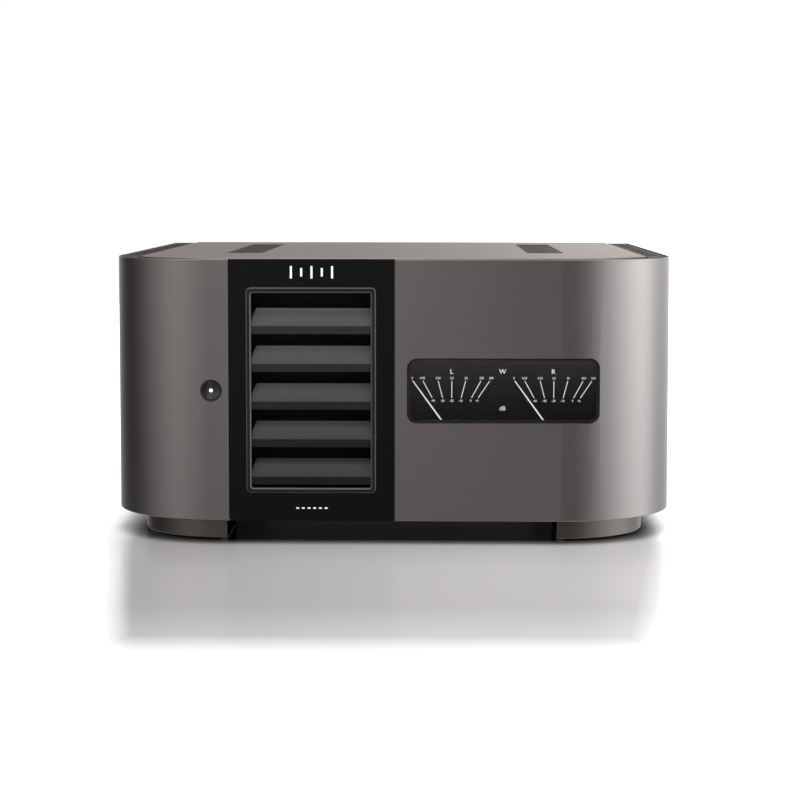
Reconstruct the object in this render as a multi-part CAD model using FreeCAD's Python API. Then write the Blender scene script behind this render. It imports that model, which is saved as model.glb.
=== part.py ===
import FreeCAD, Part
import os, math
from FreeCAD import Vector as V

os.makedirs("parts", exist_ok=True)

# ------------------------------------------------------------------ driving dimensions (mm)
# Frame: origin on the floor under the middle of the overall box, +Z up, the front faces -Y.
W = 444.0            # overall width
H = 221.0            # overall height, floor to top cover
D_BODY = 449.0       # casing depth, front face to rear panel
CONN_OUT = 26.0      # how far the loudspeaker posts stand out behind the casing
YF = -(D_BODY + CONN_OUT) / 2.0        # front face
YB = YF + D_BODY                       # rear face of the casing
YH = YB + CONN_OUT                     # rearmost point of the loudspeaker posts
R = 91.0             # plan radius of the two front corners
T = 6.0              # thickness of the wrap-round aluminium panels
ZB = 18.0            # underside of the casing
ZT = 220.2           # top edge of the wrap panels
ZC = (ZB + ZT) / 2.0 # middle height: button, meter window and intake share it
CX = W / 2.0 - R     # corner arc centre, x
CY = YF + R          # corner arc centre, y

FAS_L, FAS_R = -125.4, 2.4     # edges of the black centre fascia
GAP = 0.4                      # joint between fascia and panels
FAS_SET = 1.0                  # fascia face sits this far behind the panel face

IN_XC, IN_W, IN_H = -61.9, 100.6, 159.4   # intake grille frame, outer
IN_WALL = 4.2
IN_TOPWALL = 4.4
BLADES = 5
BLADE_Z0 = 52.0                # front edge of the lowest blade
BLADE_PITCH = 29.2
BLADE_LIP = 6.2
BLADE_RISE = 13.4
BLADE_DEPTH = 9.0
GR_DEPTH = 30.0                # depth of the grille frame sleeve

WIN_X0, WIN_X1, WIN_Z0, WIN_Z1, WIN_R = 12.0, 160.6, 93.7, 144.3, 8.0   # meter window cut-out
GLASS_SET = 5.8
PIV_Z = 84.5
PIV_X = (46.6, 125.5)
NEEDLE_R = 51.4
NEEDLE_REST = 36.0             # degrees left of upright at rest

BTN_X, BTN_R = -139.0, 8.5     # power button hole

FOOT_IN = 21.0                 # feet are set in by this much
FAN = 92.0
SPK = [(-186.0, 96.0), (-148.0, 96.0), (36.0, 96.0), (74.0, 96.0)]   # loudspeaker posts x, z
XLR = [(-184.0, 172.0), (40.0, 172.0)]
RCA = [(-146.0, 172.0), (78.0, 172.0)]
TRIG = [(126.0, 180.0), (152.0, 180.0)]
LAN = (140.0, 148.0)
USB = (166.0, 148.0)
INLET = (164.0, 66.0)
ROCK = (112.0, 66.0)

parts = {}

# ------------------------------------------------------------------ helpers
def box(x0, x1, y0, y1, z0, z1):
    return Part.makeBox(x1 - x0, y1 - y0, z1 - z0, V(x0, y0, z0))

def cyl(r, p, d, h):
    return Part.makeCylinder(r, h, V(*p), V(*d))

def cyly(r, x, z, y0, y1):
    return Part.makeCylinder(r, y1 - y0, V(x, y0, z), V(0, 1, 0))

def cylz(r, x, y, z0, z1):
    return Part.makeCylinder(r, z1 - z0, V(x, y, z0), V(0, 0, 1))

def poly(pts, ext):
    w = Part.makePolygon([V(*p) for p in pts] + [V(*pts[0])])
    return Part.Face(w).extrude(V(*ext))

def outline(off, y_rear):
    """Plan outline of the casing, set in by off, square at the rear."""
    r, xs, yf = R - off, W / 2.0 - off, YF + off
    k = math.sqrt(0.5)
    P = [V(-xs, y_rear, 0), V(-xs, CY, 0), V(-CX, yf, 0), V(CX, yf, 0), V(xs, CY, 0), V(xs, y_rear, 0)]
    e = [Part.LineSegment(P[0], P[1]).toShape(),
         Part.Arc(P[1], V(-CX - r * k, CY - r * k, 0), P[2]).toShape(),
         Part.LineSegment(P[2], P[3]).toShape(),
         Part.Arc(P[3], V(CX + r * k, CY - r * k, 0), P[4]).toShape(),
         Part.LineSegment(P[4], P[5]).toShape(),
         Part.LineSegment(P[5], P[0]).toShape()]
    return Part.Face(Part.Wire(e))

def prism(off, y_rear, z0, z1):
    f = outline(off, y_rear)
    f.translate(V(0, 0, z0))
    return f.extrude(V(0, 0, z1 - z0))

def rrect_xz(x0, x1, z0, z1, r, y0, y1):
    """Rounded rectangle in the XZ plane, extruded along Y."""
    k = r * (1 - math.sqrt(0.5))
    e = [Part.LineSegment(V(x0 + r, y0, z0), V(x1 - r, y0, z0)).toShape(),
         Part.Arc(V(x1 - r, y0, z0), V(x1 - k, y0, z0 + k), V(x1, y0, z0 + r)).toShape(),
         Part.LineSegment(V(x1, y0, z0 + r), V(x1, y0, z1 - r)).toShape(),
         Part.Arc(V(x1, y0, z1 - r), V(x1 - k, y0, z1 - k), V(x1 - r, y0, z1)).toShape(),
         Part.LineSegment(V(x1 - r, y0, z1), V(x0 + r, y0, z1)).toShape(),
         Part.Arc(V(x0 + r, y0, z1), V(x0 + k, y0, z1 - k), V(x0, y0, z1 - r)).toShape(),
         Part.LineSegment(V(x0, y0, z1 - r), V(x0, y0, z0 + r)).toShape(),
         Part.Arc(V(x0, y0, z0 + r), V(x0 + k, y0, z0 + k), V(x0 + r, y0, z0)).toShape()]
    return Part.Face(Part.Wire(e)).extrude(V(0, y1 - y0, 0))

def skin_gap(x, y):
    """Distance of a plan point from the casing's outer skin."""
    if abs(x) <= CX:
        return abs(y - YF)
    if y >= CY:
        return abs(W / 2.0 - abs(x))
    return abs(math.hypot(abs(x) - CX, y - CY) - R)

def edge_pts(e):
    a, b = e.ParameterRange
    return [e.valueAt(a + (b - a) * t) for t in (0.0, 0.25, 0.5, 0.75, 1.0)]

def chamfer(s, test, d):
    es = [e for e in s.Edges if all(test(p) for p in edge_pts(e))]
    if not es:
        print("no edges to chamfer")
        return s
    try:
        c = s.makeChamfer(d, es)
        if c.isValid() and len(c.Solids) == len(s.Solids):
            return c
    except Exception as err:
        print("chamfer failed", err)
    return s

def fillet(s, test, d):
    es = [e for e in s.Edges if all(test(p) for p in edge_pts(e))]
    if not es:
        print("no edges to fillet")
        return s
    try:
        c = s.makeFillet(d, es)
        if c.isValid():
            return c
    except Exception as err:
        print("fillet failed", err)
    return s

def near(a, b, t=1e-4):
    return abs(a - b) < t

def put(name, *shapes):
    """Stores a node: one solid, or a group of separate solids."""
    solids = []
    for s in shapes:
        solids += s.Solids
    for s in solids:
        if not s.isValid() or s.Volume <= 0:
            print("BAD SOLID in", name, s.Volume)
    parts[name] = solids[0] if len(solids) == 1 else Part.makeCompound(solids)

def fuse(a, *rest):
    s = a
    for b in rest:
        s = s.fuse(b)
    return s.removeSplitter()

# ------------------------------------------------------------------ wrap-round panels
ring = prism(0, YB, ZB, ZT).cut(prism(T, YB + 5, ZB - 1, ZT + 1))
left = ring.common(box(-300, FAS_L, -300, 300, 0, 300))
right = ring.common(box(FAS_R, 300, -300, 300, 0, 300))
left = chamfer(left, lambda p: near(p.z, ZT) and skin_gap(p.x, p.y) < 1e-3, 0.45)
left = chamfer(left, lambda p: near(p.z, ZB) and skin_gap(p.x, p.y) < 1e-3, 0.5)
right = chamfer(right, lambda p: near(p.z, ZT) and skin_gap(p.x, p.y) < 1e-3, 0.45)
right = chamfer(right, lambda p: near(p.z, ZB) and skin_gap(p.x, p.y) < 1e-3, 0.5)
right = chamfer(right, lambda p: near(p.x, FAS_R) and near(p.y, YF), 0.8)
win = rrect_xz(WIN_X0, WIN_X1, WIN_Z0, WIN_Z1, WIN_R, YF - 5, YF + 30)
right = right.cut(win)
btn_hole = cyly(BTN_R, BTN_X, ZC, YF - 5, YF + 20)
left = left.cut(btn_hole)
put("left_wrap_panel", left)
put("right_wrap_panel", right)

# ------------------------------------------------------------------ centre fascia and intake grille
ix0, ix1 = IN_XC - IN_W / 2, IN_XC + IN_W / 2
iz0, iz1 = ZC - IN_H / 2, ZC + IN_H / 2
CL = 0.3
fas = box(FAS_L + GAP, FAS_R - GAP, YF + FAS_SET, YF + 6.0, ZB, ZT)
fas = fas.cut(rrect_xz(ix0 - CL, ix1 + CL, iz0 - CL, iz1 + CL, 4.0 + CL, YF - 1, YF + 9))
put("centre_fascia", fas)

gy0 = YF + 0.4
frame = rrect_xz(ix0, ix1, iz0, iz1, 4.0, gy0, gy0 + GR_DEPTH)
frame = chamfer(frame, lambda p: near(p.y, gy0), 1.1)
jx0, jx1 = ix0 + IN_WALL, ix1 - IN_WALL
jz0, jz1 = iz0 + IN_WALL, iz1 - IN_TOPWALL
frame = frame.cut(rrect_xz(jx0, jx1, jz0, jz1, 1.5, gy0 - 1, gy0 + GR_DEPTH + 1))
frame = chamfer(frame, lambda p: near(p.y, gy0) and jx0 - 0.01 < p.x < jx1 + 0.01 and jz0 - 0.01 < p.z < jz1 + 0.01, 1.1)
put("louvre_frame", frame)

blades = []
for i in range(BLADES):
    zl = BLADE_Z0 + i * BLADE_PITCH
    y0 = YF + 2.5
    bd, bh_ = BLADE_DEPTH, BLADE_RISE
    def P(dy, dz):
        return V(jx0, y0 + dy, zl + dz)
    e = [Part.Arc(P(0, 0), P(0.44 * bd, 0.54 * bh_), P(bd, bh_)).toShape(),
         Part.LineSegment(P(bd, bh_), P(bd + 1.6, bh_ - 1.0)).toShape(),
         Part.Arc(P(bd + 1.6, bh_ - 1.0), P(0.44 * bd + 1.9, 0.46 * bh_), P(2.1, -0.6)).toShape(),
         Part.LineSegment(P(2.1, -0.6), P(2.9, -BLADE_LIP)).toShape(),
         Part.LineSegment(P(2.9, -BLADE_LIP), P(0.9, -BLADE_LIP)).toShape(),
         Part.LineSegment(P(0.9, -BLADE_LIP), P(0, 0)).toShape()]
    b = Part.Face(Part.Wire(e)).extrude(V(jx1 - jx0, 0, 0))
    b = fillet(b, lambda p: near(p.y, y0) and near(p.z, zl), 0.5)
    # the upper left corner of each blade is cut back in an arc
    t = [Part.Arc(V(jx0, y0 - 5, zl + 1.0), V(jx0 + 1.1, y0 - 5, zl + 8.0), V(jx0 + 3.8, y0 - 5, zl + BLADE_RISE + 0.3)).toShape(),
         Part.LineSegment(V(jx0 + 3.8, y0 - 5, zl + BLADE_RISE + 0.3), V(jx0 - 2, y0 - 5, zl + BLADE_RISE + 0.3)).toShape(),
         Part.LineSegment(V(jx0 - 2, y0 - 5, zl + BLADE_RISE + 0.3), V(jx0 - 2, y0 - 5, zl + 1.0)).toShape(),
         Part.LineSegment(V(jx0 - 2, y0 - 5, zl + 1.0), V(jx0, y0 - 5, zl + 1.0)).toShape()]
    b = b.cut(Part.Face(Part.Wire(t)).extrude(V(0, 40, 0)))
    blades.append(b)
put("louvre_blades", *blades)
put("dust_filter", box(jx0, jx1, gy0 + GR_DEPTH - 6.0, gy0 + GR_DEPTH - 0.5, jz0, jz1).common(
    rrect_xz(jx0, jx1, jz0, jz1, 1.5, YF, YF + 60)))
# plastic duct that guides the grille and leads the air to the heat tunnel
DUCT_END = YF + 46.0
duct = box(ix0 - 2.8, ix1 + 2.8, YF + 6.0, DUCT_END, iz0 - 2.8, iz1 + 2.8).cut(
    rrect_xz(ix0 - CL, ix1 + CL, iz0 - CL, iz1 + CL, 4.3, YF, YF + 34.0)).cut(
    rrect_xz(jx0, jx1, jz0, jz1, 1.5, YF, YF + 60))
put("intake_duct", duct)

# ------------------------------------------------------------------ power button
ry = YF + 0.9
ringb = cyly(BTN_R, BTN_X, ZC, ry, YF + 9.4).fuse(cyly(12.0, BTN_X, ZC, YF + 8.8, YF + 12.0)).cut(cyly(7.2, BTN_X, ZC, YF - 1, YF + 20))
ringb = ringb.cut(cyly(8.9, BTN_X, ZC, YF + 9.5, YF + 13))
ringb = chamfer(ringb, lambda p: near(p.y, ry), 0.4)
put("button_ring", ringb)
by = YF + 0.7
cap = cyly(6.95, BTN_X, ZC, by, YF + 9.4).fuse(cyly(8.5, BTN_X, ZC, YF + 9.6, YF + 11.0)).fuse(cyly(6.95, BTN_X, ZC, YF + 9.0, YF + 11.0)).fuse(cyly(2.4, BTN_X, ZC, YF + 10.5, YF + 14.0))
dish = Part.makeSphere(40.0, V(BTN_X, by + 0.75 - 40.0, ZC))
cap = cap.cut(dish).cut(cyly(1.32, BTN_X, ZC, by - 1, YF + 15)).removeSplitter()
put("power_button", cap)
lg = cyly(1.3, BTN_X, ZC, by + 0.3, YF + 14.0)
put("button_light_guide", lg)
sw = box(BTN_X - 9, BTN_X + 9, YF + 19.6, YF + 21.2, ZC - 15, ZC + 15).fuse(
    box(BTN_X - 3.2, BTN_X + 3.2, YF + 16.5, YF + 19.6, ZC - 3.2, ZC + 3.2)).fuse(
    box(BTN_X - 6, BTN_X - 4, YF + 18.2, YF + 19.6, ZC - 1, ZC + 1)).fuse(
    box(BTN_X - 8, BTN_X + 8, YF + 21.2, YF + 24.0, ZC - 6, ZC + 1)).fuse(
    cyly(3.0, BTN_X, ZC - 11, YF + 21.2, YF + 42.0)).fuse(cyly(3.0, BTN_X, ZC + 11, YF + 21.2, YF + 42.0))
put("button_switch_board", sw.removeSplitter())

# ------------------------------------------------------------------ meters
put("meter_window", rrect_xz(WIN_X0, WIN_X1, WIN_Z0, WIN_Z1, WIN_R, YF + GLASS_SET, YF + GLASS_SET + 2.0))
inner = prism(T, YB, 0, 250)
cz0, cz1 = 64.0, 147.5
case = box(8.5, 164.5, YF + T, YF + 36.0, cz0, cz1).common(inner)
case = case.cut(box(10.5, 162.5, YF + 4.0, YF + 34.0, cz0 + 2, cz1 - 2))
put("meter_case", case)
put("meter_dial", box(10.5, 161.6, YF + 12.0, YF + 13.0, 92.4, cz1 - 2.0))
moves = []
for i, px in enumerate(PIV_X):
    side = ("left", "right")[i]
    ringm = cyly(15.0, px, PIV_Z, YF + 19, YF + 34).cut(cyly(10.0, px, PIV_Z, YF + 18, YF + 35))
    web = box(px - 2, px + 2, YF + 22, YF + 30, PIV_Z - 11, PIV_Z + 11)
    core = cyly(6.8, px, PIV_Z, YF + 20, YF + 31.8)
    moves.append(fuse(ringm, web, core))
    coil = box(px - 8.9, px + 8.9, YF + 18.2, YF + 33.4, PIV_Z - 1.5, PIV_Z + 1.5).cut(
        box(px - 7.6, px + 7.6, YF + 19.4, YF + 32.3, PIV_Z - 2, PIV_Z + 2))
    coil.rotate(V(px, 0, PIV_Z), V(0, 1, 0), -NEEDLE_REST)
    n = poly([(px - 0.7, YF + 10.3, PIV_Z), (px + 0.7, YF + 10.3, PIV_Z), (px + 0.35, YF + 10.3, PIV_Z + NEEDLE_R), (px - 0.35, YF + 10.3, PIV_Z + NEEDLE_R)], (0, 0.4, 0))
    n = n.fuse(poly([(px - 0.7, YF + 10.3, PIV_Z - 9), (px + 0.7, YF + 10.3, PIV_Z - 9), (px + 0.7, YF + 10.3, PIV_Z), (px - 0.7, YF + 10.3, PIV_Z)], (0, 0.4, 0)))
    n = n.fuse(cyly(2.6, px, PIV_Z, YF + 9.8, YF + 11.4)).fuse(cyly(1.9, px, PIV_Z - 9, YF + 10.0, YF + 11.2)).fuse(cyly(0.8, px, PIV_Z, YF + 11, YF + 18.2))
    n = n.removeSplitter()
    n.rotate(V(px, 0, PIV_Z), V(0, 1, 0), -NEEDLE_REST)
    put("needle_" + side, n.fuse(coil).removeSplitter())
put("meter_movements", *moves)
put("dial_lamp_board", box(20, 155, YF + 29.0, YF + 30.6, 118, 140).fuse(
    fuse(*[box(28 + 20 * k, 32 + 20 * k, YF + 27.4, YF + 29.0, 127, 130) for k in range(6)])).fuse(
    cyly(2.5, 24, 129, YF + 30.6, YF + 34.0)).fuse(cyly(2.5, 151, 129, YF + 30.6, YF + 34.0)).removeSplitter())

# ------------------------------------------------------------------ front bulkhead
bh = prism(T, YB, ZB + 2.0, 214.5).common(box(-300, 300, YF + 42.0, YF + 44.0, 0, 300))
bh = bh.cut(box(ix0 - 2.8, ix1 + 2.8, YF + 40, YF + 46, iz0 - 2.8, iz1 + 2.8))
bh = bh.cut(box(-170, -130, YF + 40, YF + 46, 40, 60)).cut(box(60, 100, YF + 40, YF + 46, 170, 190))
put("front_bulkhead", bh)
br = []
for sx in (-1, 1):
    for z0 in (40.0, 170.0):
        x1 = sx * 198.0
        a = box(min(x1, x1 - sx * 12), max(x1, x1 - sx * 12), YF + 44.0, YF + 46.0, z0, z0 + 24)
        b = box(min(x1, x1 - sx * 2), max(x1, x1 - sx * 2), YF + 44.0, YF + 58.0, z0, z0 + 24)
        br.append(fuse(a, b))

# ------------------------------------------------------------------ base, feet
FS = []     # screw places through base and feet
for sx in (-1, 1):
    for sy in (-1, 1):
        for (dx, dy) in ((-40, -12), (-12, -40)):
            fx = sx * (CX - dx)
            fy = (CY + dy) if sy < 0 else (YF + YB - (CY + dy))
            FS.append((fx, fy))
base = prism(T, YB, ZB, ZB + 2.0)
for (x, y) in FS:
    base = base.cut(cylz(2.5, x, y, 0, 40))
for k in range(10):       # floor slots under the boards
    base = base.cut(box(-196 + 7 * k, -193 + 7 * k, -60, 60, 0, 40))
put("base_plate", base)
def foot_face(off, xin, yin, z):
    """Quarter-disc footprint, concentric with the front left corner."""
    r, xs = R - off, W / 2.0 - off
    k = math.sqrt(0.5)
    x_in, y_in = -CX + xin, CY + yin
    P0 = V(-CX - math.sqrt(r * r - yin * yin), y_in, z)
    P1 = V(min(x_in, -CX), CY - math.sqrt(r * r - min(xin, 0.0) ** 2), z)
    pts = [P1]
    if xin > 0:
        pts.append(V(x_in, CY - r, z))
    pts += [V(x_in, y_in, z), P0]
    e = [Part.Arc(P0, V(-CX - r * k, CY - r * k, z), P1).toShape()]
    for a, b in zip(pts[:-1], pts[1:]):
        e.append(Part.LineSegment(a, b).toShape())
    return Part.Face(Part.Wire(e))
foot = foot_face(FOOT_IN, 2.0, 0.0, 1.0).extrude(V(0, 0, ZB - 1.0))
foot = chamfer(foot, lambda p: near(p.z, 1.0), 0.5)
pocket = foot_face(FOOT_IN + 6.0, -4.0, -6.0, 0.0).extrude(V(0, 0, 3.0))
foot = foot.cut(pocket)
for (x, y) in FS:
    if x < 0 and y < -20:
        foot = foot.cut(cylz(2.5, x, y, 7.0, 40))
def four(s):
    yc = (YF + YB) / 2.0
    a = s
    b = s.mirror(V(0, 0, 0), V(1, 0, 0))
    c = s.mirror(V(0, yc, 0), V(0, 1, 0))
    d = c.mirror(V(0, 0, 0), V(1, 0, 0))
    return [a, b, c, d]
put("corner_feet", *four(foot))
put("foot_pads", *four(pocket))
foot_scr = [cylz(4.2, x, y, ZB + 2.0, ZB + 5.0).cut(poly([(x + 2.4 * math.cos(math.radians(60 * k)), y + 2.4 * math.sin(math.radians(60 * k)), ZB + 3.2) for k in range(6)], (0, 0, 3))).fuse(cylz(2.4, x, y, 8.0, ZB + 2.0)).removeSplitter() for (x, y) in FS]

# ------------------------------------------------------------------ top cover, rails, vents
TX = 199.5
TOP0 = 218.0
VX0, VX1, VY0, VY1 = 108.9, 138.8, -113.0, 132.0
cover = prism(T + 1.5, YB - 0.2, TOP0, H).common(box(-TX, TX, -300, 300, 200, 300))
def on_cover_rim(p):
    if not near(p.z, H):
        return False
    return abs(abs(p.x) - TX) < 1e-3 or abs(skin_gap(p.x, p.y) - (T + 1.5)) < 1e-3 or near(p.y, YB - 0.2)
cover = chamfer(cover, on_cover_rim, 0.5)
grills = []
for sx in (-1, 1):
    x0, x1 = (VX0, VX1) if sx > 0 else (-VX1, -VX0)
    cover = cover.cut(box(x0, x1, VY0, VY1, TOP0 - 1, H + 1))
    # flange under the cover, field nearly flush with its face
    g = box(x0 - 3.0, x1 + 3.0, VY0 - 3.0, VY1 + 3.0, TOP0 - 1.5, TOP0).fuse(
        box(x0 + 0.15, x1 - 0.15, VY0 + 0.15, VY1 - 0.15, TOP0 - 1.0, H - 0.7)).removeSplitter()
    for k in range(60):
        ys = VY0 + 3.2 + k * 4.0
        g = g.cut(box(x0 + 1.8, x1 - 1.8, ys, ys + 2.0, TOP0 - 3, H + 1))
    grills.append(g)
put("top_cover", cover)
put("top_vent_grilles", *grills)
sides, rails = [], []
for sx in (-1, 1):
    lo, hi = (TX + 0.4, 300) if sx > 0 else (-300, -TX - 0.4)
    s = prism(T, YB - 2.5, 217.1, 218.0).common(box(lo, hi, -300, 300, 200, 300))
    lo, hi = (TX + 2.2, 300) if sx > 0 else (-300, -TX - 2.2)
    s = s.fuse(prism(T, YB - 0.3, 218.0, ZT).common(box(lo, hi, -300, 300, 200, 300))).removeSplitter()
    xa, xb = (TX + 4.0, W / 2 - T - 1.8) if sx > 0 else (-(W / 2 - T - 1.8), -TX - 4.0)
    for k in range(82):
        ys = CY - 8.0 + k * 4.2
        if ys + 2.2 < YB - 6:
            s = s.cut(box(xa, xb, ys, ys + 2.2, 216, 222))
    sides.append(s)
    lo, hi = (186.0, 300) if sx > 0 else (-300, -186.0)
    r_ = prism(T, YB - 2.5, 215.1, 217.1).common(box(lo, hi, YF + 46, 300, 200, 300))
    xa, xb = (TX + 1.5, W / 2 - T - 1.8) if sx > 0 else (-(W / 2 - T - 1.8), -TX - 1.5)
    for k in range(6):
        r_ = r_.cut(box(xa, xb, CY + 2 + k * 58, CY + 52 + k * 58, 214, 218))
    up = (188.0, 198.0) if sx > 0 else (-198.0, -188.0)
    r_ = r_.fuse(box(up[0], up[1], CY + 2, YB - 4, 217.1, TOP0)).removeSplitter()
    rails.append(r_)
put("side_vent_grilles", *sides)
put("top_rails", *rails)

# ------------------------------------------------------------------ rear panel and what it carries
ry0, ry1 = YB - 2.5, YB
rear = box(-216.0, 216.0, ry0, ry1, ZB + 2.0, TOP0)
EX = (IN_XC - 44.0, IN_XC + 44.0, ZC - 72.0, ZC + 72.0)
rear = rear.cut(rrect_xz(EX[0], EX[1], EX[2], EX[3], 4.0, ry0 - 1, ry1 + 1))
for (x, z) in SPK:
    rear = rear.cut(cyly(6.2, x, z, ry0 - 1, ry1 + 1))
for (x, z) in XLR:
    rear = rear.cut(cyly(12.0, x, z, ry0 - 1, ry1 + 1))
for (x, z) in RCA:
    rear = rear.cut(cyly(5.7, x, z, ry0 - 1, ry1 + 1))
for (x, z) in TRIG:
    rear = rear.cut(cyly(4.2, x, z, ry0 - 1, ry1 + 1))
rear = rear.cut(box(LAN[0] - 8.4, LAN[0] + 8.4, ry0 - 1, ry1 + 1, LAN[1] - 7.2, LAN[1] + 7.2))
rear = rear.cut(box(USB[0] - 7.2, USB[0] + 7.2, ry0 - 1, ry1 + 1, USB[1] - 3.9, USB[1] + 3.9))
rear = rear.cut(box(INLET[0] - 17.2, INLET[0] + 17.2, ry0 - 1, ry1 + 1, INLET[1] - 12.2, INLET[1] + 12.2))
rear = rear.cut(box(ROCK[0] - 10.2, ROCK[0] + 10.2, ry0 - 1, ry1 + 1, ROCK[1] - 14.2, ROCK[1] + 14.2))
RS = [(sx * 209.5, z) for sx in (-1, 1) for z in (30.0, 74.0, 164.0, 209.0)]
RS2 = [(-130.0, 210.0), (0.0, 210.0), (130.0, 210.0), (-130.0, 28.0), (0.0, 28.0), (130.0, 28.0)]
for (x, z) in RS + RS2:
    rear = rear.cut(cyly(1.7, x, z, ry0 - 1, ry1 + 1))
put("rear_panel", rear)
posts = []
for sx in (-1, 1):
    lo, hi = (204.5, 216.0) if sx > 0 else (-216.0, -204.5)
    p = box(lo, hi, ry0 - 11.0, ry0, ZB + 2.0, 215.1)
    for (x, z) in RS:
        if x * sx > 0:
            p = p.cut(cyly(1.45, x, z, ry0 - 9, ry0 + 1))
    posts.append(p)
strips = []
for z0, z1 in ((ZB + 2.0, 34.0), (204.0, 215.1)):
    s = box(-186.0, 186.0, ry0 - 2.0, ry0, z0, z1)
    for (x, z) in RS2:
        s = s.cut(cyly(1.45, x, z, ry0 - 5, ry0 + 1))
    strips.append(s)
put("casing_brackets", *(br + posts + strips))
scr = []
for (x, z) in RS + RS2:
    h = cyly(3.1, x, z, ry1, ry1 + 1.9)
    h = fillet(h, lambda p: near(p.y, ry1 + 1.9), 0.9)
    h = h.cut(box(x - 2.0, x + 2.0, ry1 + 0.9, ry1 + 3, z - 0.4, z + 0.4)).cut(box(x - 0.4, x + 0.4, ry1 + 0.9, ry1 + 3, z - 2.0, z + 2.0))
    scr.append(h.fuse(cyly(1.4, x, z, ry1 - 7.5, ry1)).removeSplitter())
put("casing_screws", *(scr + foot_scr))

gr = rrect_xz(EX[0] - 5.0, EX[1] + 5.0, EX[2] - 5.0, EX[3] + 5.0, 6.0, YB, YB + 1.6)
for k in range(24):
    z = EX[2] + 1.3 + k * 6.0
    for j in range(4):
        x = EX[0] + 1.6 + j * 21.8
        gr = gr.cut(rrect_xz(x, x + 19.4, z, z + 3.4, 1.65, YB - 1, YB + 3))
put("exhaust_grille", gr)

bases, studs = [], []
for n, (x, z) in enumerate(SPK):
    b = cyly(11.0, x, z, YB, YB + 5.0).fuse(cyly(6.0, x, z, ry0 - 4.0, YB))
    b = fillet(b, lambda p: near(p.y, YB + 5.0), 1.2)
    b = b.cut(cyly(4.05, x, z, ry0 - 6, YB + 6))
    bases.append(b.removeSplitter())
    s = cyly(4.0, x, z, YB - 14.0, YB + 21.0)
    s = s.fuse(cyly(7.0, x, z, ry0 - 7.0, ry0 - 4.0))
    s = s.cut(cyly(2.05, x, z, YB + 3.0, YB + 25.0))
    s = s.cut(cyl(2.0, (x, YB + 7.4, z - 6), (0, 0, 1), 12))
    studs.append(s.removeSplitter())
    k = cyly(9.0, x, z, YB + 11.0, YH)
    k = fillet(k, lambda p: near(p.y, YH), 1.6)
    for j in range(12):
        a = math.radians(30 * j)
        k = k.cut(cyly(1.3, x + 9.6 * math.cos(a), z + 9.6 * math.sin(a), YB + 13.6, YH - 1.8))
    k = k.fuse(cyly(10.0, x, z, YB + 10.0, YB + 13.0))
    k = k.cut(cyly(4.3, x, z, YB + 9, YB + 22.0)).cut(cyly(3.1, x, z, YB + 21, YB + 31))
    put("speaker_knob_%d" % (n + 1), k.removeSplitter())
put("post_bases", *bases)
put("post_studs", *studs)

xl, lat = [], []
for n, (x, z) in enumerate(XLR):
    f = rrect_xz(x - 13.0, x + 13.0, z - 15.5, z + 15.5, 3.0, YB, YB + 2.2)
    barrel = cyly(11.8, x, z, ry0 - 16.0, YB + 1.0)
    s = f.fuse(barrel)
    s = s.cut(cyly(10.0, x, z, YB - 9.0, YB + 5)).fuse(cyly(7.8, x, z, YB - 10.0, YB + 0.6))
    for a in (90 - 60, 90 + 60, 270):
        hx, hz = x + 4.1 * math.cos(math.radians(a)), z + 4.1 * math.sin(math.radians(a))
        s = s.cut(cyly(1.4, hx, hz, YB - 7.5, YB + 2))
    for (dx, dz) in ((-9.5, 12.0), (9.5, -12.0)):
        s = s.cut(cyly(1.6, x + dx, z + dz, YB - 1, YB + 4)).fuse(cyly(1.5, x + dx, z + dz, YB, YB + 1.7))
    xl.append(s.removeSplitter())
put("xlr_sockets", *xl)
rc = []
for (x, z) in RCA:
    s = cyly(4.15, x, z, YB - 10.0, YB + 9.5).cut(cyly(1.8, x, z, YB - 2.0, YB + 10.0))
    s = s.fuse(cyly(7.4, x, z, YB, YB + 1.8)).fuse(cyly(5.5, x, z, ry0 - 1.5, YB))
    s = s.cut(cyly(1.8, x, z, YB - 2.0, YB + 10.0))
    s = s.removeSplitter()
    rc.append(chamfer(s, lambda p: near(p.y, YB + 9.5) and math.hypot(p.x - x, p.z - z) > 3, 0.5))
put("rca_sockets", *rc)
ct = []
for (x, z) in TRIG:
    ct.append(cyly(4.0, x, z, ry0 - 12.0, YB).fuse(cyly(5.2, x, z, YB, YB + 1.6)).cut(cyly(1.8, x, z, YB - 12.0, YB + 3)).removeSplitter())
put("trigger_jacks", *ct)
lan = box(LAN[0] - 8.2, LAN[0] + 8.2, ry0 - 19.0, YB + 0.8, LAN[1] - 7.0, LAN[1] + 7.0).cut(
    box(LAN[0] - 6.0, LAN[0] + 6.0, YB - 12.0, YB + 2, LAN[1] - 3.2, LAN[1] + 3.4)).cut(
    box(LAN[0] - 3.0, LAN[0] + 3.0, YB - 12.0, YB + 2, LAN[1] - 5.6, LAN[1] - 3.0))
usb = box(USB[0] - 7.0, USB[0] + 7.0, ry0 - 19.0, YB + 0.8, USB[1] - 3.7, USB[1] + 3.7).cut(
    box(USB[0] - 6.0, USB[0] + 6.0, YB - 11.0, YB + 2, USB[1] - 2.6, USB[1] + 2.6)).fuse(
    box(USB[0] - 5.0, USB[0] + 5.0, YB - 11.0, YB - 5.5, USB[1] + 0.1, USB[1] + 1.9))
put("data_sockets", lan.removeSplitter(), usb.removeSplitter())

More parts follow.
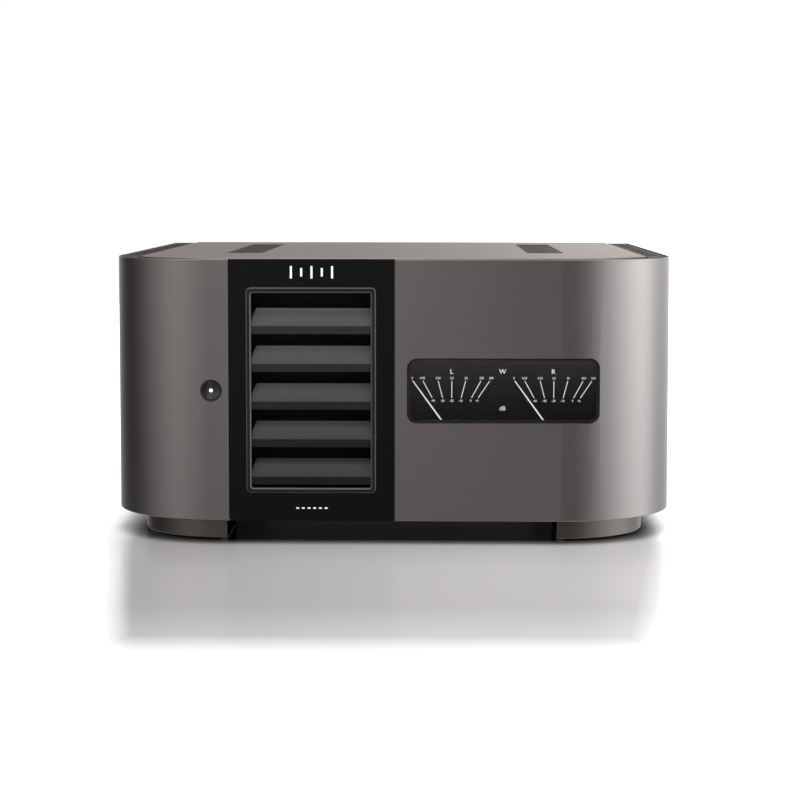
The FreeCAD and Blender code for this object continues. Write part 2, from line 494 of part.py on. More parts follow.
x, z = INLET
inl = rrect_xz(x - 20.0, x + 20.0, z - 14.5, z + 14.5, 2.5, YB, YB + 3.0).fuse(
    box(x - 17.0, x + 17.0, YB - 26.0, YB, z - 12.0, z + 12.0))
rec = poly([(x - 14.5, YB - 19.0, z - 10.0), (x + 14.5, YB - 19.0, z - 10.0), (x + 14.5, YB - 19.0, z + 5.0), (x + 9.5, YB - 19.0, z + 10.0), (x - 9.5, YB - 19.0, z + 10.0), (x - 14.5, YB - 19.0, z + 5.0)], (0, 30, 0))
inl = inl.cut(rec)
put("mains_inlet", inl.removeSplitter())
pins = []
for (dx, dz) in ((-8.0, -4.0), (8.0, -4.0), (0.0, 4.5)):
    pins.append(fillet(box(x + dx - 4.0, x + dx + 4.0, YB - 19.0, YB - 4.0, z + dz - 1.0, z + dz + 1.0), lambda p: near(p.y, YB - 4.0), 0.6))
put("inlet_pins", *pins)

x, z = ROCK
rf = rrect_xz(x - 12.5, x + 12.5, z - 16.5, z + 16.5, 1.5, YB, YB + 2.0).fuse(
    box(x - 10.0, x + 10.0, YB - 20.0, YB, z - 14.0, z + 14.0)).cut(
    box(x - 7.5, x + 7.5, YB - 16.0, YB + 3.0, z - 12.0, z + 12.0))
rf = rf.fuse(cyl(1.5, (x - 7.5, YB - 3.0, z), (1, 0, 0), 15.0))
put("rocker_frame", rf.removeSplitter())
# the rocker: two flats that meet at a shallow V, turning about a pin across its back
RPY = YB - 3.0
pr = [V(x - 7.2, RPY + 4.0, z), V(x - 7.2, RPY + 6.6, z + 10.6), V(x - 7.2, RPY - 2.0, z + 10.2), V(x - 7.2, RPY - 6.5, z), V(x - 7.2, RPY - 2.0, z - 10.2), V(x - 7.2, RPY + 6.6, z - 10.6)]
rk = Part.Face(Part.makePolygon(pr + [pr[0]])).extrude(V(14.4, 0, 0))
rk = fillet(rk, lambda p: near(p.y, RPY + 6.6), 0.8)
rk = rk.cut(cyl(1.55, (x - 8, RPY, z), (1, 0, 0), 16))
rk.rotate(V(x, RPY, z), V(1, 0, 0), -11.0)
put("rocker", rk)

# ------------------------------------------------------------------ heat tunnel and fan
HS0, HS1 = DUCT_END + 0.0, DUCT_END + 300.0
xi0, xi1 = IN_XC - 45.6, IN_XC + 45.6
def comb(x_wall, x_in, direction):
    """Heatsink profile in the XZ plane: an 8 mm back with fins across the tunnel."""
    pts = [(x_wall, HS0, 42.0), (x_in, HS0, 42.0)]
    n, pitch, th, ln = 16, 9.3, 1.8, 38.0
    z = 46.5
    for k in range(n):
        tip = x_in + direction * ln
        pts += [(x_in, HS0, z), (tip, HS0, z), (tip, HS0, z + th), (x_in, HS0, z + th)]
        z += pitch
    pts += [(x_in, HS0, 197.0), (x_wall, HS0, 197.0)]
    return poly(pts, (0, HS1 - HS0, 0))
put("heatsinks", comb(xi0 - 8.0, xi0, 1), comb(xi1 + 8.0, xi1, -1))
tun = box(xi0 - 8, xi1 + 8, HS0, HS1, 40.0, 42.0)
for x in (xi0 - 8, xi1):
    for y in (HS0 + 20, HS1 - 40):
        tun = tun.fuse(box(x, x + 8, y, y + 20, ZB + 2.0, 40.0))
tun = tun.removeSplitter()
fy0 = HS1 + 2.0
shr = box(xi0 - 8, xi1 + 8, HS1, fy0, 40.0, 199.0).cut(cyly(44.0, IN_XC, ZC, HS1 - 1, fy0 + 1))
put("tunnel_plates", tun, box(xi0 - 8, xi1 + 8, HS0, HS1, 197.0, 199.0), shr)
ff = rrect_xz(IN_XC - FAN / 2, IN_XC + FAN / 2, ZC - FAN / 2, ZC + FAN / 2, 5.0, fy0, fy0 + 25.0).cut(cyly(43.5, IN_XC, ZC, fy0 - 1, fy0 + 26))
for dx in (-41.25, 41.25):
    for dz in (-41.25, 41.25):
        ff = ff.cut(cyly(2.2, IN_XC + dx, ZC + dz, fy0 - 1, fy0 + 26))
ff = ff.fuse(cyly(18.5, IN_XC, ZC, fy0 + 21.5, fy0 + 25.0))
for a in (45, 135, 225, 315):
    arm = box(IN_XC + 16, IN_XC + 44.5, fy0 + 22.0, fy0 + 25.0, ZC - 2.2, ZC + 2.2)
    arm.rotate(V(IN_XC, 0, ZC), V(0, 1, 0), a + 12)
    ff = ff.fuse(arm)
ff = ff.fuse(cyly(1.5, IN_XC, ZC, fy0 + 4.0, fy0 + 22.0)).removeSplitter()
put("fan_frame", ff)
rot = cyly(18.0, IN_XC, ZC, fy0 + 1.5, fy0 + 20.5)
rot = fillet(rot, lambda p: near(p.y, fy0 + 1.5), 2.5)
rot = rot.cut(cyly(16.2, IN_XC, ZC, fy0 + 8.0, fy0 + 21.0))
for k in range(7):
    pts = [(17.0, fy0 + 4.0, -5.5), (17.0, fy0 + 5.6, -7.0), (17.0, fy0 + 18.0, 6.0), (17.0, fy0 + 16.6, 7.4)]
    pts2 = [(41.6, fy0 + 5.5, -13.0), (41.6, fy0 + 7.0, -14.2), (41.6, fy0 + 16.5, 6.5), (41.6, fy0 + 15.1, 7.7)]
    w1 = Part.makePolygon([V(IN_XC + p[0], p[1], ZC + p[2]) for p in pts] + [V(IN_XC + pts[0][0], pts[0][1], ZC + pts[0][2])])
    w2 = Part.makePolygon([V(IN_XC + p[0], p[1], ZC + p[2]) for p in pts2] + [V(IN_XC + pts2[0][0], pts2[0][1], ZC + pts2[0][2])])
    bl = Part.makeLoft([w1, w2], True, True)
    bl.rotate(V(IN_XC, 0, ZC), V(0, 1, 0), k * 360.0 / 7)
    rot = rot.fuse(bl)
rot = rot.fuse(cyly(3.4, IN_XC, ZC, fy0 + 7.0, fy0 + 19.0)).cut(cyly(1.55, IN_XC, ZC, fy0 + 3.5, fy0 + 24.0))
rot = rot.common(cyly(42.0, IN_XC, ZC, fy0, fy0 + 24)).removeSplitter()
put("fan_rotor", rot)
ed = box(xi0 - 8, xi1 + 8, fy0 + 25.0, ry0, 40.0, 199.0).cut(box(xi0 - 6, xi1 + 6, fy0 + 24.0, ry0 + 1, 42.0, 197.0))
put("exhaust_duct", ed)

# ------------------------------------------------------------------ output stage
tr = []
for side in (-1, 1):
    xw = xi0 - 8.0 if side < 0 else xi1 + 8.0
    for k in range(8):
        y0 = HS0 + 22 + k * 33.0
        xa, xb = (xw - 5.0, xw) if side < 0 else (xw, xw + 5.0)
        t = box(xa, xb, y0, y0 + 16.0, 104.0, 125.0)
        for dy in (2.5, 8.0, 13.5):
            la, lb = (xw - 12.0, xw - 3.4) if side < 0 else (xw + 3.4, xw + 12.0)
            t = t.fuse(box(min(xw - 4.0, xw - 3.4) if side < 0 else xw + 3.4, xw - 3.4 if side < 0 else xw + 4.0, y0 + dy - 0.5, y0 + dy + 0.5, 96.0, 104.5))
        tr.append(t.removeSplitter())
put("output_transistors", *tr)
def amp_board(side):
    xw = xi0 - 8.0 - 14.0 if side < 0 else xi1 + 8.0 + 14.0
    xa, xb = (xw - 1.6, xw) if side < 0 else (xw, xw + 1.6)
    b = box(xa, xb, HS0 + 10, HS0 + 290, 46.0, 196.0)
    def out(d0, d1):
        return (xa - d1, xa - d0) if side < 0 else (xb + d0, xb + d1)
    comps = []
    for k in range(6):
        y = HS0 + 34 + k * 42
        c = cyl(8.0, ((xa if side < 0 else xb), y, 66.0), ((-1 if side < 0 else 1), 0, 0), 24.0 if side < 0 else 12.5)
        comps.append(c)
        a, d = out(0, 6.0)
        comps.append(box(a, d, y + 12, y + 30, 150, 160))
        comps.append(box(a, d, y - 6, y + 6, 172, 186))
    a, d = out(0, 16.0)
    comps.append(box(a, d, HS0 + 250, HS0 + 278, 110, 140))
    x0 = xb if side < 0 else xa
    for y in (HS0 + 16, HS0 + 284):
        for z in (52.0, 190.0):
            comps.append(cyl(3.0, (x0, y, z), (-side, 0, 0), 14.0))
    return fuse(b, *comps)
put("amplifier_boards", amp_board(-1), amp_board(1))

# ------------------------------------------------------------------ power supply
TCX, TCY, TR_, TH_ = 122.0, -108.0, 84.0, 80.0
tor = cylz(TR_, TCX, TCY, 23.0, 23.0 + TH_)
tor = fillet(tor, lambda p: near(p.z, 23.0) or near(p.z, 23.0 + TH_), 18.0)
tor = tor.cut(cylz(24.0, TCX, TCY, 0, 200))
put("toroidal_transformer", tor)
put("transformer_pads", cylz(66.0, TCX, TCY, ZB + 2.0, 23.0).cut(cylz(5.5, TCX, TCY, 0, 60)),
    cylz(60.0, TCX, TCY, 23.0 + TH_, 26.0 + TH_).cut(cylz(5.5, TCX, TCY, 0, 260)))
clamp = (cylz(58.0, TCX, TCY, 26.0 + TH_, 29.0 + TH_).cut(cylz(5.5, TCX, TCY, 0, 260)))
bolt = cylz(5.0, TCX, TCY, ZB + 2.0, 46.0 + TH_).fuse(poly([(TCX + 9.0 * math.cos(math.radians(60 * k)), TCY + 9.0 * math.sin(math.radians(60 * k)), 29.0 + TH_) for k in range(6)], (0, 0, 8.0)))
put("transformer_clamp", clamp, bolt.removeSplitter())
capb = box(20.0, 214.0, -12.0, 100.0, 26.0, 27.4)
cap_board = (fuse(capb, *[cylz(3.0, x, y, ZB + 2.0, 26.0) for x in (26, 208) for y in (-6, 94)]))
caps = []
for i in range(4):
    for j in range(2):
        c = cylz(22.5, 45.0 + i * 48.0, 18.0 + j * 50.0, 27.4, 107.4)
        c = fillet(c, lambda p: near(p.z, 107.4), 2.0)
        caps.append(c)
put("reservoir_capacitors", *caps)
sb = box(78.0, 204.0, 112.0, 172.0, 30.0, 31.6)
sb = fuse(sb, box(84, 124, 118, 152, 31.6, 62.0), box(132, 152, 118, 142, 31.6, 50.0), box(158, 178, 118, 142, 31.6, 50.0),
          *[cylz(3.0, x, y, ZB + 2.0, 30.0) for x in (82, 200) for y in (116, 168)], *[cylz(5.0, 140 + 14 * k, 158.0, 31.6, 46.0) for k in range(4)])
put("supply_boards", cap_board, sb)
ibs = []
for x0, x1 in ((-204.0, -126.0), (22.0, 192.0)):
    ib = box(x0, x1, ry0 - 20.5, ry0 - 19.0, 130.0, 198.0)
    ibs.append(fuse(ib, *[box(x0 + 8 + 24 * k, x0 + 20 + 24 * k, ry0 - 23.5, ry0 - 20.5, 140, 148) for k in range(3)],
        *[cyly(3.0, x, z, ry0 - 19.0, ry0) for x in (x0 + 5, x1 - 5) for z in (135.0, 193.0)]))
put("input_boards", *ibs)
cb = box(-196.0, -140.0, -170.0, -168.4, 68.0, 166.0)
put("control_board", fuse(cb, box(-190, -166, -168.4, -164.0, 100, 124), box(-162, -148, -168.4, -160.0, 132, 154), *[cyl(4.0, (-190 + 14 * k, -168.4, 80.0), (0, 1, 0), 12.0) for k in range(3)],
    *[cyl(3.0, (x, YF + 44.0, z), (0, 1, 0), -170.0 - YF - 44.0) for x in (-190, -146) for z in (74, 160)]))

# ------------------------------------------------------------------ internal wiring, held all the way
def lead(pts, r):
    """Round lead along straight runs joined by tangent arcs."""
    P = [V(*p) for p in pts]
    edges, prev = [], P[0]
    for i in range(1, len(P) - 1):
        a, b, c = P[i - 1], P[i], P[i + 1]
        u, w = (a - b), (c - b)
        lu, lw = u.Length, w.Length
        u.normalize(); w.normalize()
        half = u.getAngle(w) / 2.0
        t = 0.42 * min(lu, lw)
        p1, p2 = b + u * t, b + w * t
        rad = t * math.tan(half)
        bis = (u + w); bis.normalize()
        ctr = b + bis * (rad / math.sin(half))
        mid = ctr - bis * rad
        edges.append(Part.LineSegment(prev, p1).toShape())
        edges.append(Part.Arc(p1, mid, p2).toShape())
        prev = p2
    edges.append(Part.LineSegment(prev, P[-1]).toShape())
    wire = Part.Wire(edges)
    d = (P[1] - P[0]); d.normalize()
    prof = Part.Wire(Part.makeCircle(r, P[0], d))
    s = wire.makePipeShell([prof], True, False)
    return s
leads = []
leads.append(lead([(INLET[0] - 6, YB - 26.0, INLET[1]), (INLET[0] - 6, YB - 46.0, INLET[1]), (INLET[0] - 27, YB - 55.0, INLET[1] + 6), (ROCK[0] + 4, YB - 46.0, ROCK[1]), (ROCK[0] + 4, YB - 20.0, ROCK[1])], 2.2))
tz = 23.0 + TH_
leads.append(lead([(TCX - 32.8, TCY + 53.7, tz), (TCX - 32.8, TCY + 53.7, tz + 22), (TCX - 47, TCY + 77, tz + 38), (TCX - 62, TCY + 101.4, tz + 38), (45.0, 18.0, tz + 22), (45.0, 18.0, 107.4)], 2.5))
put("supply_leads", *leads)

for name, s in sorted(parts.items()):
    s.exportStep("parts/%s.step" % name)
print(len(parts), "nodes", sum(len(s.Solids) for s in parts.values()), "solids")
bb = None
for n, s in parts.items():
    b = s.BoundBox
    bb = b if bb is None else bb.united(b)
print("box", round(bb.XMin, 2), round(bb.XMax, 2), round(bb.YMin, 2), round(bb.YMax, 2), round(bb.ZMin, 2), round(bb.ZMax, 2))
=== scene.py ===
import bpy, bmesh, math
from mathutils import Matrix, Vector


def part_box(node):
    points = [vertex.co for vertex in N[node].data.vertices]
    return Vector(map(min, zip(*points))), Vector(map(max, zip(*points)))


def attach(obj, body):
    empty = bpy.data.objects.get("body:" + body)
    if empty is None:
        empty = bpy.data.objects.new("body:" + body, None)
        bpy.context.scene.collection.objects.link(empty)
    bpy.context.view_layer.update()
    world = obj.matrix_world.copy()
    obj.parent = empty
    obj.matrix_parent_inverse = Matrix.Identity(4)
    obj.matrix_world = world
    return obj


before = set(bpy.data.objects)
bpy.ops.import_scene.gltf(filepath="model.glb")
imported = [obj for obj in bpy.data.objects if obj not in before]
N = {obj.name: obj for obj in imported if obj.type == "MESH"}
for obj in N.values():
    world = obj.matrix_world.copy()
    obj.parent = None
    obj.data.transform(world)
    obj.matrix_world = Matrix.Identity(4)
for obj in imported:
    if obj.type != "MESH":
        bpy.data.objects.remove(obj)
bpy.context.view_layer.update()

SC = bpy.context.scene
SC.view_settings.view_transform = "Standard"
SC.view_settings.look = "None"
SC.view_settings.exposure = 0.0
SC.view_settings.gamma = 1.0
MM = 0.001

# ------------------------------------------------------------------ camera
YAW, PITCH, ROLL = math.radians(1.02), math.radians(4.479), math.radians(0.028)
CAM = Vector((0.03528, -1.82484, 0.27744))
fwd = Vector((-math.sin(YAW), math.cos(YAW), 0.0))
right = Vector((math.cos(YAW), math.sin(YAW), 0.0))
up = Vector((0.0, 0.0, 1.0))
f2 = fwd * math.cos(PITCH) - up * math.sin(PITCH)
u2 = up * math.cos(PITCH) + fwd * math.sin(PITCH)
r3 = right * math.cos(ROLL) + u2 * math.sin(ROLL)
u3 = u2 * math.cos(ROLL) - right * math.sin(ROLL)
cam_data = bpy.data.cameras.new("camera")
cam = bpy.data.objects.new("camera", cam_data)
SC.collection.objects.link(cam)
m = Matrix((r3, u3, -f2)).transposed().to_4x4()
m.translation = CAM
cam.matrix_world = m
cam_data.sensor_width = 36.0
cam_data.lens = 93.354
cam_data.shift_x = -0.0005
cam_data.shift_y = -0.0663
cam_data.dof.use_dof = False
cam_data.clip_start, cam_data.clip_end = 0.05, 60.0
SC.camera = cam


# ------------------------------------------------------------------ node helpers
class Tree:
    def __init__(self, nt):
        self.nt = nt

    def n(self, kind, **kw):
        node = self.nt.nodes.new(kind)
        for k, v in kw.items():
            setattr(node, k, v)
        return node

    def link(self, a, b):
        self.nt.links.new(a, b)

    def math(self, op, a, b=None, clamp=False):
        node = self.n("ShaderNodeMath", operation=op, use_clamp=clamp)
        for i, v in enumerate((a, b)):
            if v is None:
                continue
            if isinstance(v, (int, float)):
                node.inputs[i].default_value = v
            else:
                self.link(v, node.inputs[i])
        return node.outputs[0]

    def dot(self, a, vec):
        node = self.n("ShaderNodeVectorMath", operation="DOT_PRODUCT")
        self.link(a, node.inputs[0])
        node.inputs[1].default_value = vec
        return node.outputs["Value"]

    def scale(self, colour, fac):
        node = self.n("ShaderNodeVectorMath", operation="SCALE")
        self.link(colour, node.inputs[0])
        self.link(fac, node.inputs["Scale"])
        return node.outputs[0]

    def ramp(self, fac, stops):
        node = self.n("ShaderNodeValToRGB")
        while len(node.color_ramp.elements) > 1:
            node.color_ramp.elements.remove(node.color_ramp.elements[-1])
        e = node.color_ramp.elements[0]
        e.position, e.color = stops[0][0], (*stops[0][1], 1)
        for p, c in stops[1:]:
            e = node.color_ramp.elements.new(p)
            e.color = (*c, 1)
        self.link(fac, node.inputs[0])
        return node.outputs[0]


# ------------------------------------------------------------------ studio: world, backdrop, floor
def unit(az, el):
    """Direction from the object: azimuth from -Y towards +X, elevation above the horizon."""
    a, e = math.radians(az), math.radians(el)
    return (math.sin(a) * math.cos(e), -math.cos(a) * math.cos(e), math.sin(e))


world = bpy.data.worlds.new("studio")
SC.world = world
world.use_nodes = True
W = Tree(world.node_tree)
world.node_tree.nodes.clear()
coord = W.n("ShaderNodeTexCoord")
norm = W.n("ShaderNodeVectorMath", operation="NORMALIZE")
W.link(coord.outputs["Generated"], norm.inputs[0])
# brightness round the horizon: (azimuth, strength), a soft bank on each side with a dim gap behind the camera
HORIZON = [(-180, 1.30), (-150, 0.30), (-130, 0.04), (-112, 0.10), (-97, 0.31), (-83, 0.62), (-70, 0.92), (-58, 1.18), (-46, 1.12),
           (-34, 0.84), (-23, 0.66), (-12, 0.50), (-5, 0.84), (-1, 0.72), (3, 0.24), (7, 0.10), (13, 0.22), (22, 0.40), (30, 0.58),
           (38, 1.00), (46, 1.55), (55, 2.28), (64, 2.85), (73, 3.45), (82, 4.00), (92, 4.50), (104, 3.90), (118, 2.10), (140, 1.25), (180, 1.30)]
HEIGHT = [(-1.0, 0.48), (-0.36, 0.52), (-0.22, 0.56), (-0.136, 0.60), (-0.061, 0.83), (0.0, 1.02), (0.09, 1.10), (0.17, 0.85), (0.30, 0.42), (0.60, 0.22), (1.0, 0.2)]
LOBES = [  # azimuth, elevation, sharpness, strength
    (0, 62, 3.0, 1.6),
    (0, 90, 2.0, 1.1),
    (2, -9, 60.0, 0.07),
    (-125, -34, 26.0, 0.75),
    (180, -20, 6.0, 0.5),
]
sep_w = W.n("ShaderNodeSeparateXYZ")
W.link(norm.outputs[0], sep_w.inputs[0])
az_w = W.math("ARCTAN2", sep_w.outputs["X"], W.math("MULTIPLY", sep_w.outputs["Y"], -1.0))
turn = W.math("ADD", W.math("MULTIPLY", az_w, 1.0 / (2 * math.pi)), 0.5)
ring = W.math("MULTIPLY", W.ramp(turn, [((a + 180.0) / 360.0, (v / 6.0,) * 3) for a, v in HORIZON]), 6.0)
tall = W.ramp(W.math("ADD", W.math("MULTIPLY", sep_w.outputs["Z"], 0.5), 0.5), [((z + 1.0) / 2.0, (v / 2.0,) * 3) for z, v in HEIGHT])
total = W.math("MULTIPLY", ring, W.math("MULTIPLY", tall, 2.0))
for az, el, sharp, strength in LOBES:
    d = W.dot(norm.outputs[0], unit(az, el))
    lobe = W.math("MULTIPLY", W.math("POWER", W.math("MAXIMUM", d, 0.0), sharp), strength)
    total = W.math("ADD", total, lobe)
bg = W.n("ShaderNodeBackground")
# warm in front and on the left, neutral in the bright bank on the right
W.link(W.ramp(turn, [(0.0, (1.0, 0.985, 0.975)), (0.555, (1.0, 0.985, 0.975)), (0.62, (0.962, 0.985, 0.985)), (0.85, (0.962, 0.985, 0.985)), (1.0, (1.0, 0.985, 0.975))]), bg.inputs["Color"])
W.link(total, bg.inputs["Strength"])
out = W.n("ShaderNodeOutputWorld")
W.link(bg.outputs[0], out.inputs[0])


# floor: painted contact shadow as a share of the open tone by distance from the feet in metres; painted shade in the
# open tone by how far in front, then over the width
FLOOR_CONTACT_SHADOW = [(0.0, (0.012, 0.012, 0.012)), (0.0045, (0.09, 0.09, 0.09)), (0.009, (0.20, 0.20, 0.20)), (0.0135, (0.32, 0.32, 0.32)), (0.018, (0.50, 0.50, 0.50)), (0.0225, (0.80, 0.80, 0.80)), (0.028, (1, 1, 1))]
FLOOR_SHADE_POOL = [(0.0, (0.56, 0.545, 0.54)), (0.10, (0.55, 0.535, 0.53)), (0.24, (0.50, 0.488, 0.483)), (0.33, (0.62, 0.61, 0.605)), (0.44, (0.95, 0.95, 0.95)), (1.0, (0.95, 0.95, 0.95))]
FLOOR_SIDE_SHADE = [(0.0, (0.70, 0.70, 0.70)), (0.5, (0.89, 0.89, 0.89)), (1.0, (1.0, 1.0, 1.0))]
BACK_TONE = [(0.0, (0.252,) * 3), (0.25, (0.255,) * 3), (0.45, (0.30,) * 3), (0.58, (0.39,) * 3), (0.72, (0.60,) * 3), (1.0, (0.66,) * 3)]


def add_object(name, mesh):
    o = bpy.data.objects.new(name, mesh)
    SC.collection.objects.link(o)
    return o


def plain_mesh(name, verts, faces):
    me = bpy.data.meshes.new(name)
    me.from_pydata(verts, [], faces)
    me.update()
    return me


def new_mat(name):
    mat = bpy.data.materials.new(name)
    mat.use_nodes = True
    mat.node_tree.nodes.clear()
    return mat, Tree(mat.node_tree)


mat, t = new_mat("floor_pale")
p = t.n("ShaderNodeBsdfPrincipled")
o = t.n("ShaderNodeOutputMaterial")
t.link(p.outputs[0], o.inputs[0])
tc = t.n("ShaderNodeTexCoord")
noise = t.n("ShaderNodeTexNoise")
noise.inputs["Scale"].default_value = 3.0
noise.inputs["Detail"].default_value = 3.0
t.link(tc.outputs["Object"], noise.inputs["Vector"])
sep = t.n("ShaderNodeSeparateXYZ")
t.link(tc.outputs["Object"], sep.inputs[0])
ax_, ay_ = t.math("ABSOLUTE", sep.outputs["X"]), t.math("ABSOLUTE", sep.outputs["Y"])
# distance from the rounded outline of the feet, for the painted contact shadow
qx = t.math("MAXIMUM", t.math("SUBTRACT", ax_, 0.131), 0.0)
qy = t.math("MAXIMUM", t.math("SUBTRACT", ay_, 0.1465), 0.0)
near = t.math("SUBTRACT", t.math("SQRT", t.math("ADD", t.math("MULTIPLY", qx, qx), t.math("MULTIPLY", qy, qy))), 0.070, True)
contact_shadow = t.ramp(near, FLOOR_CONTACT_SHADOW)
front = t.math("SUBTRACT", t.math("MULTIPLY", sep.outputs["Y"], -1.0), 0.235, True)
side = t.math("MULTIPLY", t.math("SUBTRACT", t.math("ADD", ax_, t.math("MULTIPLY", front, 0.14)), 0.200, True), 1.0 / 0.05, True)
behind = t.math("MULTIPLY", t.math("ADD", sep.outputs["Y"], 0.16), 6.0, True)
clear = t.math("MAXIMUM", t.math("MAXIMUM", side, behind), t.math("MULTIPLY", t.math("SUBTRACT", front, 0.33, True), 8.0, True))
# painted shade: the open floor is grey in front of the part and turns white further out
tone = t.ramp(front, FLOOR_SHADE_POOL)
# painted shade: the floor near the part is darker towards the left
shade_across = t.ramp(t.math("ADD", t.math("MULTIPLY", sep.outputs["X"], 2.4), 0.5, True), FLOOR_SIDE_SHADE)
white = t.n("ShaderNodeMixRGB")
grey = t.n("ShaderNodeMixRGB", blend_type="MULTIPLY")
grey.inputs[0].default_value = 1.0
t.link(tone, grey.inputs[1])
t.link(shade_across, grey.inputs[2])
t.link(clear, white.inputs[0])
t.link(grey.outputs[0], white.inputs[1])
white.inputs[2].default_value = (0.95, 0.95, 0.95, 1)
shaded = t.n("ShaderNodeMixRGB", blend_type="MULTIPLY")
shaded.inputs[0].default_value = 1.0
t.link(white.outputs[0], shaded.inputs[1])
t.link(contact_shadow, shaded.inputs[2])
tone = shaded.outputs[0]
mixn = t.n("ShaderNodeMixRGB", blend_type="MULTIPLY")
mixn.inputs[0].default_value = 1.0
t.link(tone, mixn.inputs[1])
t.link(t.ramp(noise.outputs["Fac"], [(0.3, (0.985, 0.985, 0.985)), (0.7, (1.0, 1.0, 1.0))]), mixn.inputs[2])
t.link(mixn.outputs[0], p.inputs["Base Color"])
p.inputs["Roughness"].default_value = 0.22
# painted contact shadow: the floor's reflection also fades out near the feet
t.link(t.math("MULTIPLY", contact_shadow, 0.12), p.inputs["Specular IOR Level"])
# painted light: the floor glows (emission) away from the part so the open sweep reads evenly white; the glow fades
# out near the part and the feet
p.inputs["Emission Color"].default_value = (1, 1, 1, 1)
t.link(t.math("MULTIPLY", t.math("MULTIPLY", clear, contact_shadow), 0.45), p.inputs["Emission Strength"])
floor = add_object("floor", plain_mesh("floor", [(-7, -7, 0), (7, -7, 0), (7, 7, 0), (-7, 7, 0)], [(0, 1, 2, 3)]))
floor.data.materials.append(mat)
floor.visible_glossy = False

mat, t = new_mat("backdrop_white")
em = t.n("ShaderNodeEmission")
o = t.n("ShaderNodeOutputMaterial")
t.link(em.outputs[0], o.inputs[0])
tc = t.n("ShaderNodeTexCoord")
sep = t.n("ShaderNodeSeparateXYZ")
t.link(tc.outputs["Object"], sep.inputs[0])
t.link(t.math("MULTIPLY", t.ramp(t.math("ADD", t.math("MULTIPLY", sep.outputs["X"], 0.5), 0.5), BACK_TONE), 4.0), em.inputs["Strength"])
em.inputs["Color"].default_value = (1, 1, 1, 1)
back = add_object("backdrop", plain_mesh("backdrop", [(-1.15, 3.0, 0), (1.15, 3.0, 0), (1.15, 3.0, 1.6), (-1.15, 3.0, 1.6)], [(0, 1, 2, 3)]))
back.data.materials.append(mat)


